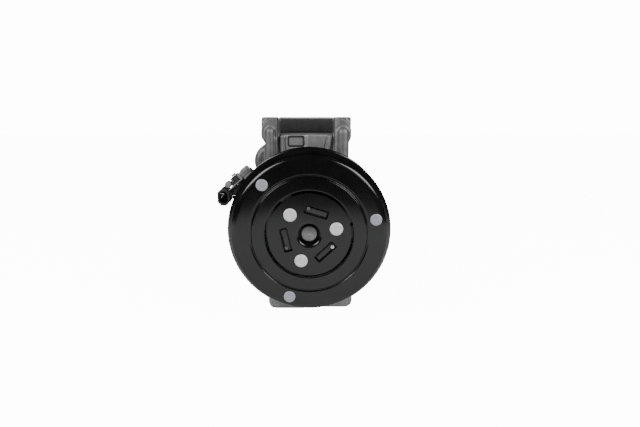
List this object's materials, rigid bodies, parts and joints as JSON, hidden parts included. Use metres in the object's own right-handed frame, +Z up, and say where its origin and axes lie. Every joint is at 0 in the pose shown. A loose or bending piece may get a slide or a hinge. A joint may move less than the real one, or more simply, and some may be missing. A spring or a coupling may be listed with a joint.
{
  "type": "automotive air-conditioning compressor",
  "caption": "Scroll refrigerant compressor in a cast case with mounting ears and foot, driven by a grooved pulley through a magnetic clutch.",
  "frame": {"origin": "centre line of the shaft projected down on to the underside of the front mounting foot", "axes": "+Z up, -Y out of the clutch face along the shaft, +X to the right as seen from the clutch"},
  "size_m": [0.1382, 0.159, 0.162],
  "materials": {
    "cast_aluminium": "cast, matt",
    "machined_aluminium": "machined",
    "black_paint": "gloss black",
    "bare_steel": "bare, turned",
    "plated_steel": "zinc plated",
    "rivet_metal": "satin grey",
    "spring_steel": "blued grey",
    "copper_winding": "enamelled copper wire",
    "black_plastic": "moulded",
    "grey_plastic": "moulded",
    "black_rubber": "matt",
    "brass": "turned"
  },
  "bodies": {
    "root": {"front_housing": "cast_aluminium", "centre_housing": "cast_aluminium", "rear_housing": "cast_aluminium", "fixed_scroll": "machined_aluminium", "thrust_plate": "bare_steel", "stop_pin_1": "bare_steel", "stop_pin_2": "bare_steel", "stop_pin_3": "bare_steel", "reed_stop": "bare_steel", "coil_shell": "bare_steel", "coil_snap_ring": "bare_steel", "nose_snap_ring": "bare_steel", "seal_snap_ring": "bare_steel", "main_bearing_outer_race": "bare_steel", "pulley_bearing_inner_race": "bare_steel", "coil_plate": "plated_steel", "connector_bracket": "plated_steel", "nose_needle_bearing": "plated_steel", "reed_screw": "plated_steel", "body_bolt_1": "plated_steel", "body_bolt_2": "plated_steel", "body_bolt_3": "plated_steel", "body_bolt_4": "plated_steel", "body_bolt_5": "plated_steel", "coil_winding": "copper_winding", "port_cover": "black_plastic", "coil_connector": "black_plastic", "connector_clip": "black_plastic", "bracket_screw": "black_plastic", "lead_sleeve": "grey_plastic", "lip_seal": "black_rubber", "front_o_ring": "black_rubber", "rear_o_ring": "black_rubber", "coil_lead": "black_rubber", "relief_valve": "brass"},
    "pulley": {"pulley": "black_paint", "pulley_snap_ring": "bare_steel", "pulley_bearing_outer_race": "bare_steel"},
    "pulley_cage": {"pulley_bearing_balls": "plated_steel"},
    "shaft": {"drive_shaft": "bare_steel", "counterweight": "bare_steel", "eccentric_bush": "bare_steel", "main_bearing_inner_race": "bare_steel", "hub": "bare_steel", "hub_disc": "black_paint", "inner_rivet_1": "rivet_metal", "inner_rivet_2": "rivet_metal", "inner_rivet_3": "rivet_metal", "leaf_spring_1": "spring_steel", "leaf_spring_2": "spring_steel", "leaf_spring_3": "spring_steel"},
    "armature": {"armature_plate": "bare_steel", "armature_cover": "black_paint", "outer_rivet_1": "rivet_metal", "outer_rivet_2": "rivet_metal", "outer_rivet_3": "rivet_metal"},
    "main_cage": {"main_bearing_balls": "plated_steel"},
    "orbiting": {"orbiting_scroll": "machined_aluminium", "bush_needle_bearing": "plated_steel"},
    "reed": {"discharge_reed": "spring_steel"}
  },
  "joints": [
    {"name": "pulley_spin", "type": "hinge", "parent": "root", "child": "pulley", "pos_m": [0, -0.0328, 0.076], "axis": [0, 1, 0], "continuous": true},
    {"name": "pulley_cage_spin", "type": "hinge", "parent": "root", "child": "pulley_cage", "pos_m": [0, -0.0328, 0.076], "axis": [0, 1, 0], "continuous": true},
    {"name": "shaft_spin", "type": "hinge", "parent": "root", "child": "shaft", "pos_m": [0, 0.0013, 0.076], "axis": [0, 1, 0], "continuous": true},
    {"name": "main_cage_spin", "type": "hinge", "parent": "root", "child": "main_cage", "pos_m": [0, 0.0013, 0.076], "axis": [0, 1, 0], "continuous": true},
    {"name": "armature_pull", "type": "slide", "parent": "shaft", "child": "armature", "axis": [0, 1, 0], "range_m": [0, 0.00045], "stiffness_N_per_m": 20000},
    {"name": "scroll_orbit", "type": "hinge", "parent": "shaft", "child": "orbiting", "pos_m": [0, 0.0294, 0.0805], "axis": [0, 1, 0], "continuous": true},
    {"name": "reed_lift", "type": "hinge", "parent": "root", "child": "reed", "pos_m": [0, 0.05825, 0.058], "axis": [-1, 0, 0], "range_deg": [0, 8], "stiffness_Nm_per_rad": 0.4}
  ],
  "couplings": [
    {"joint": "pulley_cage_spin", "follows": "pulley_spin", "ratio": 0.55333},
    {"joint": "main_cage_spin", "follows": "shaft_spin", "ratio": 0.41774},
    {"joint": "scroll_orbit", "follows": "shaft_spin", "ratio": -1}
  ]
}
